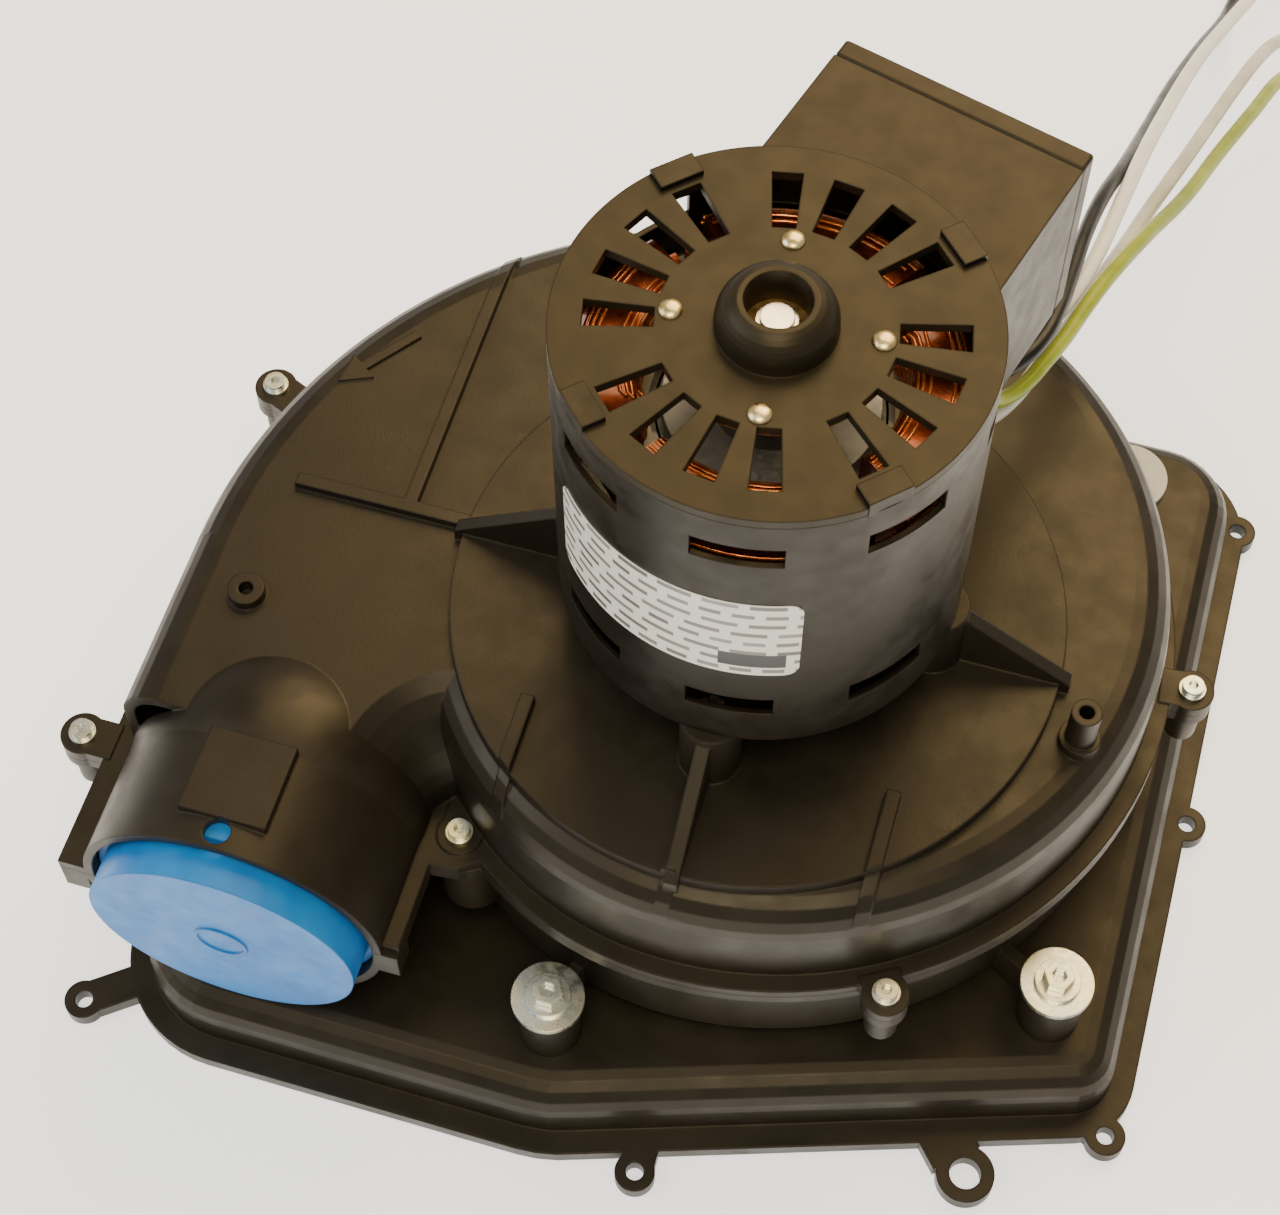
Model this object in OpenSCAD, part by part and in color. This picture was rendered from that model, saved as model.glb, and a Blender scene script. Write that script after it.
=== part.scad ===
// Combustion fan: a collector box, a two-part scroll housing with an outlet collar and its plug,
// a squirrel-cage wheel, and a split capacitor motor with its capacitor box and leads.
// The fan axis is Z, and the flange of the collector box stands on the plane z = 0.

/* [Motor] */
// Outside diameter of the motor shell
motor_d = 84; // [82:0.5:86]
// Length of the motor shell, without the end cap
motor_h = 81; // [78:1:84]
// Thickness of the shell's sheet steel
shell_wall = 1.2; // [1:0.1:1.5]
// Diameter of the shaft
shaft_d = 8; // [7.8:0.1:8.2]
// Height of the mounting posts above the raised disc
post_h = 18; // [17:0.5:19]
// Distance of the mounting posts from the fan axis
post_circle = 38; // [37:0.5:38.5]

/* [Scroll housing] */
// Radius of the scroll where it is narrowest
scroll_r = 72; // [71:0.5:73]
// Height of the upper half above the parting plane
upper_h = 29; // [28:0.5:30]
// Depth of the lower half below the parting plane
lower_h = 32; // [31:0.5:32]
// Wall thickness of both halves
wall = 2.5; // [2:0.25:3]
// Width of the lip round the parting plane
lip_w = 4; // [3:0.5:5]
// Radius of the raised disc under the motor
disc_r = 66; // [64:0.5:67]

/* [Outlet] */
// Outside radius of the outlet collar
collar_r = 33.5; // [33:0.25:33.5]
// Thickness of the collar's wall
collar_wall = 2.5; // [2:0.25:3]
// Radius of the plug that closes the outlet
plug_r = 29.5; // [29:0.25:30]
// How far the plug stands out of the collar
plug_out = 6.5; // [5:0.5:9]

/* [Collector box] */
// Height of the box from the flange face to its top
box_h = 20; // [19:0.5:20]
// Wall thickness of the box
box_wall = 2.5; // [2:0.25:3]
// Thickness of the flange
flange_t = 4; // [3:0.5:5]
// Width of the flange outside the walls
flange_w = 5.5; // [4:0.5:6]

/* [Wheel] */
// Outside radius of the wheel
wheel_r = 60; // [56:1:62]
// Height of the wheel's blades
wheel_h = 34; // [30:1:35]
// Number of blades
blades = 32; // [24:2:36]

/* [Leads] */
// Diameter of each lead
lead_d = 3.6; // [3.4:0.1:3.8]

/* [Hidden] */
$fn = 64;
LEADS = ["black", "white", "grey", "green"];
// Cuts run this far past the face that they open
gap = 0.01;

// Levels up the fan axis
part_z = box_h + 2 + lower_h;
cover_z = part_z + upper_h;
disc_z = cover_z + 3;
motor_z = disc_z + post_h;
cap_z = motor_z + motor_h;
cap_t = 2.2;
seat_r = 6.4;
rivet_circle = 19.7;
tab_w = 4.5;
motor_r = motor_d / 2;
shaft_r = shaft_d / 2 - 0.03;

// The scroll is four arcs, each tangent to the next: [centre x, centre y, radius, start angle]
grow = 15;
arcs = [
    [0, 0, scroll_r, 180],
    [0, grow, scroll_r + grow, 270],
    [-4, grow, scroll_r + grow + 4, 0],
    [-4, -14.5, scroll_r + grow + 33.5, 90]];
straight_y = arcs[3][1];
shoulder = 9;

// Outlet: a horizontal collar along -Y, and the upright axis that its inner elbow turns about
out_x = -91;
out_end = -87;
seat_y = out_end + 11.5;
elbow = [-48, -57];
elbow_r = elbow[0] - out_x - collar_r;
duct_left = out_x - collar_r;

// Outline of the collector box, with the radius of each corner
box_pts = [[-120, -98, 22], [-20, -98, 30], [98.5, -59, 10], [98.5, 112, 18], [-120, 112, 22]];
// Ears of the collector's flange: [x, y, hole radius, ear radius]
box_ears = [
    [-130, -98, 2, 4.5], [2, -101, 2, 4.5], [72, -81, 3.5, 6.5], [100, -64, 2, 4.5],
    [104, 16, 2, 4.5], [102, 100, 2, 4.5], [30, 118, 2, 4.5], [-60, 118, 2, 4.5],
    [-127, 20, 2, 4.5]];
// Feet that the blower stands on, near the corners of the box
feet = [[-23.5, -80], [81, -46], [-80, 94]];
foot_top = 36.5;
// Screw ears of the scroll housing's lip: [x, y, direction of the arm to the lip, its length]
ears = [
    [-137, -57.5, 0, 8], [-129, 41, -23, 13], [-50, -57, 90, 8], [46.5, -66.6, 120, 5],
    [95, 21.5, 184, 7], [22, 111.5, -105, 8], [-48, 107, -70, 8]];
ear_r = 5;
// Thickness of the ears, and how far they stand above the lip
pad_t = 3;
pad_step = 0.4;

// Wheel, rotor and stator levels
wheel_top = cover_z - wall - 9;
core_z = motor_z + 24;
core_h = 32;

// The capacitor box stands against the shell, turned about the fan axis
box_turn = 74;
box_low = cap_z - 55;
box_top = cap_z - 8;
grommet = [50, -21.5];

// Free leads: route of each centre line, down out of the grommet and over to the floor
lead_r = lead_d / 2;
exit_z = box_low - 1.6;
routes = [
    [[33, 45.2, exit_z], [33, 45.2, 122], [34, 46.6, 118.3], [37.2, 49.8, 117.2], [41.2, 54.4, 116.8],
     [44.8, 61.5, 116.4], [46.8, 72, 115], [47.5, 84, 112], [48.2, 100, 108.2], [49.8, 115, 103.2],
     [52.4, 131, 95], [55.5, 158, 78.5], [59, 188, 62], [62.5, 214, 46], [65.5, 236, 31],
     [68, 254, 18], [70, 270, 8], [71.5, 286, 2.5], [72, 302, lead_r], [72, 318, lead_r]],
    [[31.8, 41.4, exit_z], [31.8, 41.4, 119], [32.5, 43.5, 114], [35, 49, 111], [39, 57, 110],
     [43, 65, 109.5], [47, 77, 108], [50.5, 90, 106], [54.5, 120, 100], [56, 134, 96],
     [59, 158, 86.5], [64.5, 198, 66], [68, 216, 56.5], [72.5, 239, 43.5], [77, 261, 30],
     [81, 278, 16], [84.5, 294, 6], [86.5, 310, 2.2], [88, 322, lead_r], [88, 335, lead_r]],
    [[35.1, 39.6, exit_z], [35.1, 39.6, 117], [36, 41.5, 111], [38.5, 46, 107.5], [42, 53, 106],
     [45, 62, 105], [49, 75, 103], [52.5, 90, 100.2], [56.8, 108, 94.4], [60.6, 126, 88.4],
     [66, 150, 80], [70.5, 172, 71], [75, 195, 60.5], [79.5, 218, 48], [84, 238, 34],
     [89, 255, 19], [95, 271, 7.5], [103, 286, 2.3], [113.4, 298.6, lead_r]],
    [[36.8, 43, exit_z], [36.8, 43, 120.5], [38, 44.5, 115.5], [41, 49, 112], [44, 54.5, 110.5],
     [46.5, 61, 110], [49.5, 70, 108.5], [52, 80, 106.5], [54.9, 90, 105], [60.8, 110, 97.6],
     [68, 135, 84.8], [74, 162, 72], [80.5, 188, 60.5], [86, 211, 49], [92, 230, 31],
     [99, 241.5, 15], [108, 247.5, 5.5], [120, 250, 2], [135, 250, lead_r]]];
// Coil of each lead on the floor: [centre x, centre y, turned by, mirrored]
coils = [[48.5, 318, 0, 0], [111.5, 335, 0, 1], [130, 282, -45, 1], [135, 226.5, -90, 1]];
coil_r = 23.5;
coil_turns = 1.5;
coil_pitch = 3.8;
tail_r = 8.5;
coil_in = coil_r - coil_turns * coil_pitch;

function arc(c, r, a0, a1, n = 8) =
    [for (i = [0:n]) let (a = a0 + (a1 - a0) * i / n) [c[0] + r * cos(a), c[1] + r * sin(a)]];

// Half profile of the housing from the axis to radius r, with a rounded shoulder at height h
function shoulder_profile(r, h, round) =
    concat([[0, 0], [r, 0]], arc([r - round, h - round], round, 0, 90, 5), [[0, h]]);

function unit(v) = v / norm(v);

// Centre and radius of the arc in corner i of the box's outline, inset from the walls
function corner(i, inset) =
    let (p = box_pts[i], a = box_pts[(i + 4) % 5], b = box_pts[(i + 1) % 5],
         u = unit([a[0] - p[0], a[1] - p[1]]), v = unit([b[0] - p[0], b[1] - p[1]]),
         half = acos(u * v) / 2, middle = unit(u + v), d = p[2] / sin(half))
    [p[0] + middle[0] * d, p[1] + middle[1] * d, p[2] - inset];

module rod(r, h, at = [0, 0, 0]) {
    translate(at) cylinder(r = r, h = h);
}

module ring(r_out, r_in, h, at = [0, 0, 0]) {
    translate(at) difference() {
        cylinder(r = r_out, h = h);
        translate([0, 0, -1]) cylinder(r = r_in, h = h + 2);
    }
}

module cuboid(a, b) {
    translate(a) cube([b[0] - a[0], b[1] - a[1], b[2] - a[2]]);
}

// Solid of half the scroll and its duct, on z = 0, inset by w from the outer surface
module half_scroll(h, w, round) {
    top = h - w;
    for (a = arcs)
        translate([a[0], a[1], 0]) rotate([0, 0, a[3]])
            rotate_extrude(angle = 90) polygon(shoulder_profile(a[2] - w, top, round));
    cuboid([-5, -1, 0], [1, grow + 1, top]);
    // Straight side of the duct
    translate([0, straight_y, 0]) rotate([90, 0, 0]) linear_extrude(straight_y - elbow[1])
        polygon(concat([[-80, 0], [-80, top]],
                       arc([duct_left + w + round, top - round], round, 90, 180, 6),
                       [[duct_left + w, 0]]));
    // Elbow between the collar and the narrow end of the scroll
    translate([elbow[0], elbow[1], 0]) rotate([0, 0, 90])
        rotate_extrude(angle = 90) polygon(elbow_profile(top, w));
}

function elbow_profile(top, w) =
    let (r = collar_r - w - 0.15, c = elbow_r + collar_r, steep = asin(min(1, top / r)))
    concat([[c - r, 0]], [for (i = [1:8]) let (a = steep * i / 8) [c - r * cos(a), r * sin(a)]],
           [[64, top], [64, 0]]);

// Round collar and the ball that blends it into the duct, inset by w
module collar(w) {
    translate([out_x, elbow[1], 0]) {
        rotate([90, 0, 0]) cylinder(r = collar_r - w, h = elbow[1] - out_end);
        // The ball is a little wider than the collar and the duct, so that it cuts cleanly into both
        sphere(r = collar_r - w + 0.4);
    }
}

// Slightly wider mouth of the collar, where the plug's skirt sits
module plug_seat() {
    translate([out_x, seat_y, 0]) rotate([90, 0, 0])
        cylinder(r = collar_r - collar_wall + 0.5, h = 20);
}

module above() {
    intersection() {
        children();
        cuboid([-200, -200, 0], [200, 200, 60]);
    }
}

// Lip round the parting plane, t thick, with the bars beside the collar
module lip(t) {
    for (a = arcs)
        translate([a[0], a[1], 0]) rotate([0, 0, a[3]])
            rotate_extrude(angle = 90) square([a[2] + lip_w, t]);
    cuboid([duct_left - 6, -87, 0], [duct_left + 8, straight_y, t]);
    cuboid([-60, -85.5, 0], [-54, -50, t]);
    linear_extrude(t) polygon([
        [-66, -60], [-66, -55], [-56, -44], [-44, -44], [-37, -56], [-40, -59], [-48, -65],
        [-60, -66]]);
}

module ear_pads(t) {
    for (e = ears) {
        rod(ear_r, t, [e[0], e[1], 0]);
        translate([e[0], e[1], 0]) rotate([0, 0, e[2]])
            cuboid([2.3, 0.6 - ear_r, 0], [e[3], ear_r - 0.6, t]);
    }
}

module ear_holes(r) {
    for (e = ears) rod(r, 60, [e[0], e[1], -40]);
}

module posts() {
    for (a = [0, 90, 180, 270]) rotate([0, 0, a]) {
        rod(6.5, post_h, [post_circle, 0, 0]);
        // Gusset from the post down to the edge of the disc
        translate([0, 1.5, 0]) rotate([90, 0, 0]) linear_extrude(3)
            polygon([[post_circle, -1], [post_circle, post_h - 1], [44.5, post_h - 2],
                     [disc_r, 1.5], [disc_r + 2, 0], [disc_r + 2, -3.5]]);
    }
}

// Thin ribs that follow the top of the cover, rising `up` above it
module ribs(up) {
    cuboid([-81.5, 4, 0], [-78.5, 120, upper_h + up]);
    cuboid([-106, 1, 0], [-66, 4, upper_h + up]);
    for (x = [-41.5, 37, -2.5]) cuboid([x, -75, 0], [x + 3, -36, upper_h + up]);
}

module rounded_box(inset, h, round) {
    hull() for (i = [0:4]) {
        c = corner(i, inset);
        translate([c[0], c[1], 0]) rotate_extrude($fn = 32)
            polygon(shoulder_profile(c[2], h, round));
    }
}

module collector_box() {
    color([0.21, 0.20, 0.17]) difference() {
        union() {
            rounded_box(0, box_h, 8);
            linear_extrude(flange_t) hull() for (i = [0:4]) {
                c = corner(i, -flange_w);
                translate([c[0], c[1]]) circle(r = c[2], $fn = 48);
            }
            for (e = box_ears) {
                rod(e[3], flange_t, [e[0], e[1], 0]);
                translate([e[0], e[1], 0]) rotate([0, 0, atan2(-e[1], -e[0])])
                    cuboid([e[2] + 0.4, 0.6 - e[3], 0], [12, e[3] - 0.6, flange_t]);
            }
        }
        translate([0, 0, -gap]) rounded_box(box_wall, box_h - box_wall, 6);
        for (e = box_ears) rod(e[2], 20, [e[0], e[1], -1]);
        rod(47, 20, [0, 0, 10]);
        rod(8, 10, [72, 97, box_h - 5]);
        for (p = feet) rod(2.2, 20, [p[0], p[1], 10]);
    }
    color([0.21, 0.20, 0.17]) for (p = feet)
        ring(6, 2.2, 12, [p[0], p[1], box_h - box_wall - 12]);
}

module box_plug() {
    color([0.78, 0.78, 0.76]) union() {
        rod(9.5, 1.4, [72, 97, box_h]);
        ring(8, 6, 3.5, [72, 97, box_h - 3.5]);
    }
}

module inlet_seal() {
    color([0.12, 0.12, 0.12]) ring(56, 48, 2, [0, 0, box_h]);
}

module inlet_ring() {
    floor_z = part_z - lower_h;
    color([0.55, 0.56, 0.55]) translate([0, 0, floor_z + wall + gap]) rotate_extrude()
        polygon(concat([[54, 0], [54, 1.2]], arc([50, 5.2], 4, -90, -180, 5),
                       [[46, 8.5], [44.8, 8.5], [44.8, 5.2]], arc([50, 5.2], 5.2, -180, -90, 5)));
}

module lower_housing() {
    color([0.23, 0.22, 0.18]) difference() {
        union() {
            translate([0, 0, part_z]) mirror([0, 0, 1]) {
                half_scroll(lower_h, 0, 4);
                above() collar(0);
                lip(pad_t + 0.5 - pad_step);
                ear_pads(pad_t + 0.5);
                for (e = ears) rod(3.6, 14, [e[0], e[1], 0]);
                // Round boss under the collar's elbow
                rod(7, 20, [elbow[0], elbow[1], 0]);
                // Blocks at the open ends of the two bars
                for (x = [-130.5, -60]) cuboid([x, -87, 0], [x + 6, -81, 9]);
            }
            for (p = feet) {
                rod(7, foot_top - box_h, [p[0], p[1], box_h]);
                translate([p[0], p[1], 0]) rotate([0, 0, atan2(-p[1], -p[0])])
                    cuboid([0, -1.5, box_h + 2.2], [18, 1.5, foot_top - 4]);
            }
        }
        translate([0, 0, part_z + gap]) mirror([0, 0, 1]) {
            half_scroll(lower_h, wall, 3);
            above() collar(collar_wall);
            plug_seat();
        }
        translate([0, 0, part_z]) ear_holes(1.25);
        rod(44, 10, [0, 0, part_z - lower_h - 5]);
        for (p = feet) {
            rod(2.6, 40, [p[0], p[1], box_h - 5]);
            rod(4.6, 4, [p[0], p[1], foot_top - 3]);
        }
    }
}

module upper_housing() {
    color([0.26, 0.24, 0.19]) difference() {
        union() {
            translate([0, 0, part_z]) {
                half_scroll(upper_h, 0, shoulder);
                above() collar(0);
                lip(pad_t - pad_step);
                ear_pads(pad_t);
                intersection() {
                    half_scroll(upper_h + 2, 0, shoulder + 2);
                    ribs(2);
                }
            }
            rod(disc_r, 4, [0, 0, cover_z - 1]);
            translate([0, 0, disc_z]) posts();
            intersection() {
                rod(disc_r, 20, [0, 0, part_z + upper_h]);
                translate([0, 0, part_z]) ribs(5);
            }
            // Flat pad on the collar, tap tube, small boss and the direction arrow
            cuboid([out_x - 9.5, -80.5, cover_z], [out_x + 9.5, -61.5, cover_z + 5.5]);
            rod(3.2, 14, [72.5, -11.8, cover_z - 1]);
            rod(4.4, 3.5, [72.5, -11.8, cover_z - 1]);
            rod(4, 3.5, [-106.5, -27.3, cover_z - 1]);
            translate([-100, 39, cover_z - 0.5]) rotate([0, 0, -127]) linear_extrude(1.2)
                polygon([[-11, -1.2], [4, -1.2], [4, -4], [11, 0], [4, 4], [4, 1.2], [-11, 1.2]]);
        }
        translate([0, 0, part_z - gap]) {
            half_scroll(upper_h, wall, shoulder - 2);
            above() collar(collar_wall);
            plug_seat();
            ear_holes(1.9);
        }
        rod(10, 20, [0, 0, cover_z - 8]);
        rod(1.6, 30, [72.5, -11.8, cover_z - 8]);
        rod(1.6, 5, [-106.5, -27.3, cover_z - 1]);
        rod(2.8, 20, [out_x, -83.2, cover_z - 5]);
        for (a = [0, 90, 180, 270]) rotate([0, 0, a]) rod(1.6, 20, [post_circle, 0, motor_z - 14]);
    }
}

module outlet_plug() {
    color([0.35, 0.62, 0.85]) translate([out_x, out_end - plug_out, part_z]) rotate([-90, 0, 0]) {
        difference() {
            union() {
                cylinder(r = plug_r, h = plug_out + 4);
                translate([0, 0, plug_out + 3]) cylinder(r = collar_r - collar_wall + 0.2, h = 8);
            }
            translate([0, 0, 1.6]) cylinder(r = plug_r - 1.4, h = 20);
        }
        translate([0, 0, -0.4]) ring(6, 5.2, 0.6);
    }
}

module mount_grommets() {
    color([0.1, 0.1, 0.1]) for (p = feet)
        ring(4.5, 2.3, 3, [p[0], p[1], foot_top - 3]);
}

module mount_washer(p) {
    color([0.78, 0.77, 0.70]) ring(8, 2.4, 1.5, [p[0], p[1], foot_top]);
}

module mount_screw(p) {
    head_z = foot_top + 1.5;
    color([0.74, 0.72, 0.66]) difference() {
        union() {
            rod(5, 1.2, [p[0], p[1], head_z]);
            rod(3.4, 4, [p[0], p[1], head_z], $fn = 6);
            rod(2, head_z - 7, [p[0], p[1], 7.5]);
        }
        rod(1.7, 4, [p[0], p[1], head_z + 2], $fn = 6);
    }
}

module housing_screw(e) {
    head_z = part_z + pad_t;
    color([0.80, 0.79, 0.74]) difference() {
        union() {
            rod(3, 1, [e[0], e[1], head_z]);
            rod(2.4, 2.6, [e[0], e[1], head_z]);
            rod(1.2, 16, [e[0], e[1], head_z - 15.9]);
        }
        rod(1.1, 2, [e[0], e[1], head_z + 1.4], $fn = 6);
    }
}

module wheel() {
    low = wheel_top - wheel_h;
    color([0.62, 0.63, 0.62]) union() {
        difference() {
            rod(wheel_r, 1.2, [0, 0, wheel_top]);
            rod(9.9, 4, [0, 0, wheel_top - 1]);
        }
        ring(wheel_r, 50, 1.2, [0, 0, low - 1.2]);
        for (i = [0:blades - 1]) rotate([0, 0, i * 360 / blades])
            translate([0, 0, low - 0.2]) linear_extrude(wheel_h + 0.4)
                polygon(concat(arc([wheel_r - 6.5, -5], 6.2, 30, 130, 4),
                               arc([wheel_r - 6.5, -5], 5.4, 130, 30, 4)));
    }
}

module wheel_hub() {
    color([0.70, 0.70, 0.68]) difference() {
        union() {
            rod(9.9, 16, [0, 0, wheel_top - 10]);
            rod(15, 1.4, [0, 0, wheel_top - 1.4]);
        }
        rod(shaft_r, 40, [0, 0, wheel_top - 20]);
        translate([0, 0, wheel_top - 6]) rotate([0, 90, 0]) cylinder(r = 2, h = 20);
    }
    color([0.3, 0.3, 0.3]) translate([shaft_r, 0, wheel_top - 6]) rotate([0, 90, 0])
        cylinder(r = 2, h = 5);
}

module shaft() {
    color([0.80, 0.80, 0.80]) union() {
        rod(shaft_r, cap_z + 4 - wheel_top + 11, [0, 0, wheel_top - 11]);
        rod(shaft_r - 0.8, 1, [0, 0, cap_z + 4]);
    }
}

module cooling_fan() {
    z = disc_z + 6;
    color([0.15, 0.15, 0.15]) difference() {
        union() {
            rod(29, 1.2, [0, 0, z]);
            rod(8, 7, [0, 0, z]);
            for (i = [0:9]) rotate([0, 0, 36 * i]) cuboid([7, -0.6, z], [28, 0.6, z + 7]);
        }
        rod(shaft_r, 20, [0, 0, z - 5]);
    }
}

module rotor_core() {
    color([0.45, 0.45, 0.46]) ring(21.9, shaft_r, core_h, [0, 0, core_z]);
}

module rotor_rings() {
    color([0.75, 0.76, 0.77]) for (z = [core_z - 4, core_z + core_h])
        ring(21, 12, 4, [0, 0, z]);
}

module stator_core() {
    color([0.55, 0.55, 0.58]) difference() {
        ring(motor_r - shell_wall, 22.4, core_h, [0, 0, core_z]);
        for (a = [45, 135, 225, 315]) rotate([0, 0, a])
            cuboid([25, -6.5, core_z - 1], [37.5, 6.5, core_z + core_h + 1]);
    }
}

module winding(k) {
    color([0.80, 0.33, 0.10]) rotate([0, 0, 90 * k]) {
        for (z = [core_z - 15, core_z + core_h + 1]) translate([0, 0, z]) rotate([0, 0, -36])
            rotate_extrude(angle = 72) polygon(concat(
                arc([27.5, 2.5], 2.5, 180, 270, 3), arc([35.5, 2.5], 2.5, 270, 360, 3),
                arc([35.5, 11.5], 2.5, 0, 90, 3), arc([27.5, 11.5], 2.5, 90, 180, 3)));
        for (s = [-45, 45]) rotate([0, 0, s]) mirror([0, s > 0 ? 1 : 0, 0])
            cuboid([27, 1, core_z - 8], [36, 6, core_z + core_h + 8]);
    }
}

module slot_liners() {
    color([0.85, 0.84, 0.78]) for (z = [core_z - 1, core_z + core_h]) difference() {
        ring(39.5, 23.5, 1, [0, 0, z]);
        for (a = [45, 135, 225, 315]) rotate([0, 0, a])
            cuboid([26.5, -6.5, z - 1], [36.5, 6.5, z + 2]);
    }
}

module motor_shell() {
    color([0.20, 0.19, 0.17]) difference() {
        ring(motor_r, motor_r - shell_wall, motor_h, [0, 0, motor_z]);
        for (z = [motor_z + 11, cap_z - 13.5], i = [0:7]) rotate([0, 0, 45 * i + 5.6])
            slot_sector(z, 6);
    }
    // Four tabs bent inward over the end cap
    color([0.20, 0.19, 0.17]) for (i = [0:3]) rotate([0, 0, 90 * i + 43.5]) {
        cuboid([motor_r - shell_wall, -tab_w, cap_z - 1], [motor_r - 0.1, tab_w, cap_z + 3.4]);
        cuboid([37, -tab_w, cap_z + cap_t], [motor_r - 0.1, tab_w, cap_z + 3.4]);
    }
}

// Opening 24 degrees wide through the side of the shell
module slot_sector(z, h) {
    translate([0, 0, z]) rotate([0, 0, -12]) rotate_extrude(angle = 24)
        translate([38, 0]) square([6, h]);
}

module end_cap() {
    color([0.24, 0.23, 0.19]) difference() {
        union() {
            rod(motor_r, cap_t, [0, 0, cap_z]);
            // Domed boss round the open bearing seat
            translate([0, 0, cap_z]) rotate_extrude()
                polygon(concat([[0, 0], [11.5, 0], [11.5, 3]], arc([5.5, 4.5], 6, 0, 70, 6), [[0, 10]]));
        }
        rod(seat_r, 20, [0, 0, cap_z - 1]);
        for (g = [0:3], a = [-29, -9.7, 9.7, 29]) rotate([0, 0, 90 * g - 17.5 + a])
            translate([0, 0, cap_z - 1]) linear_extrude(6)
                polygon([[22.4, -2.2], [35.6, -3], [35.6, 3], [22.4, 2.2]]);
        for (i = [0:3]) rotate([0, 0, 90 * i + 6]) rod(1.6, 8, [rivet_circle, 0, cap_z - 2]);
        for (i = [0:3]) rotate([0, 0, 90 * i + 43.5])
            cuboid([motor_r - shell_wall, -tab_w, cap_z - 1], [50, tab_w, cap_z + 6]);
    }
}

module end_cap_rivets() {
    color([0.86, 0.78, 0.52]) for (i = [0:3]) rotate([0, 0, 90 * i + 6]) union() {
        rod(1.6, cap_t + 2, [rivet_circle, 0, cap_z - 2]);
        rod(2.4, 1.2, [rivet_circle, 0, cap_z + cap_t]);
    }
}

module lower_shield() {
    color([0.22, 0.21, 0.19]) difference() {
        union() {
            rod(motor_r - shell_wall, 1.6, [0, 0, motor_z]);
            rod(11, 12, [0, 0, motor_z]);
        }
        rod(9, 11, [0, 0, motor_z + 1.6]);
        rod(5.5, 4, [0, 0, motor_z - 1]);
        for (a = [0, 90, 180, 270]) rotate([0, 0, a]) rod(2, 6, [post_circle, 0, motor_z - 2]);
        for (i = [0:7]) rotate([0, 0, 45 * i + 22.5]) rod(3.5, 6, [26, 0, motor_z - 2]);
    }
}

module bearing(z, r) {
    color([0.72, 0.60, 0.36]) ring(r, shaft_r + 0.05, 8, [0, 0, z]);
}

module upper_bearing() {
    bearing(cap_z - 6.5, seat_r);
    // Retainer plate held by the rivets
    color([0.3, 0.3, 0.3]) difference() {
        ring(22, seat_r, 1, [0, 0, cap_z - 1]);
        for (i = [0:3]) rotate([0, 0, 90 * i + 6]) rod(1.6, 4, [rivet_circle, 0, cap_z - 2]);
    }
}

module lower_bearing() {
    bearing(motor_z + 2, 9);
}

module motor_screws() {
    color([0.7, 0.7, 0.68]) for (a = [0, 90, 180, 270]) rotate([0, 0, a]) union() {
        rod(1.6, 13, [post_circle, 0, motor_z - 11.4]);
        rod(2.7, 2, [post_circle, 0, motor_z + 1.6]);
    }
}

module motor_label() {
    color([0.90, 0.90, 0.86]) translate([0, 0, motor_z + 27.5]) rotate([0, 0, -143])
        rotate_extrude(angle = 76.5) translate([motor_r, 0]) square([0.25, 26.5]);
}

module capacitor_box() {
    color([0.29, 0.27, 0.22]) rotate([0, 0, box_turn]) difference() {
        cuboid([30, -28, box_low], [70, 28, box_top]);
        rod(motor_r, 80, [0, 0, box_low - 10]);
        cuboid([47, -26.8, box_low + 1.2], [71, 26.8, box_top - 1.2]);
        rod(5, 6.2, [grommet[0], grommet[1], box_low - 5]);
    }
}

module box_lid() {
    color([0.29, 0.27, 0.22]) rotate([0, 0, box_turn]) difference() {
        cuboid([70, -28, box_low], [75, 28, box_top]);
        cuboid([69, -26.8, box_low + 1.2], [73.8, 26.8, box_top - 1.2]);
    }
}

module capacitor() {
    low = box_low + 1.2;
    color([0.62, 0.63, 0.64]) rotate([0, 0, box_turn]) {
        for (y = [-9, 9]) rod(10, 38, [61, y, low]);
        cuboid([51, -9, low], [71, 9, low + 38]);
        for (y = [-7, 5]) cuboid([60.6, y, low + 38], [61.4, y + 6, low + 45]);
    }
}

module lead_grommet() {
    color([0.12, 0.12, 0.12]) rotate([0, 0, box_turn]) union() {
        rod(5, 1.2, [grommet[0], grommet[1], box_low]);
        rod(6, box_low - exit_z, [grommet[0], grommet[1], exit_z]);
    }
}

// Direction of a route at point i, and the ring of eight points round it there
function heading(p, i) = unit(p[min(i + 1, len(p) - 1)] - p[max(i - 1, 0)]);
function tube_ring(p, i) =
    let (d = heading(p, i), u = unit(cross(d, [0.9, -0.4, 0])), v = cross(d, u))
    [for (j = [0:7]) p[i] + lead_r * (u * cos(45 * j) + v * sin(45 * j))];

module tube(p) {
    last = 8 * (len(p) - 1);
    polyhedron(
        [for (i = [0:len(p) - 1]) each tube_ring(p, i)],
        concat([[for (j = [0:7]) j], [for (j = [7:-1:0]) last + j]],
               [for (i = [0:8:last - 8], j = [0:7]) let (k = (j + 1) % 8) [i + j, i + 8 + j, i + k]],
               [for (i = [0:8:last - 8], j = [0:7]) let (k = (j + 1) % 8) [i + k, i + 8 + j, i + 8 + k]]));
}

lead_colours = [[0.08, 0.08, 0.08], [0.92, 0.91, 0.88], [0.80, 0.78, 0.70], [0.66, 0.72, 0.30]];

module lead(n) {
    color(lead_colours[n]) tube(routes[n]);
}

// A coil's own frame: the lead comes in at [coil_r, 0], heading along +Y
module at_coil(n) {
    c = coils[n];
    translate([c[0], c[1], 0]) rotate([0, 0, c[2]]) mirror([c[3], 0, 0]) children();
}

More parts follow.
